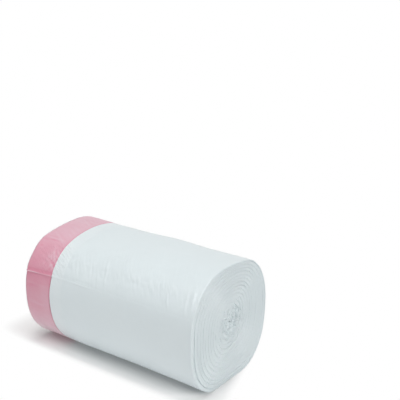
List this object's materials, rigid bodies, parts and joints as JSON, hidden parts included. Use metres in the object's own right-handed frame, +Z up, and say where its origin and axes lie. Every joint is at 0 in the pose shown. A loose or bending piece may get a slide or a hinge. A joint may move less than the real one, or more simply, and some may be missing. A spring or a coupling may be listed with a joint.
{
  "type": "bin bag roll",
  "caption": "Soft coreless roll of white drawstring bin bags lying on its side, a pink drawtape band wound in at one end and a folded spiral face at the other.",
  "frame": {"origin": "on the supporting surface, under the middle of the roll: the centre of the bounding box's underside", "axes": "+X along the roll, from the pink hem end to the white folded end; +Z up from the flat spot it lies on; +Y completes the frame, so the loose end of the film lies on the -Y side"},
  "size_m": [0.15, 0.0893, 0.083],
  "materials": {
    "bag_film": "milky white thin polyethylene film, semi-gloss, slightly bluish",
    "tape_film": "red drawtape seen through the milky hem film, dusty pink, semi-gloss"
  },
  "bodies": {
    "root": {"film_roll": "bag_film", "draw_tape": "tape_film"}
  },
  "joints": []
}
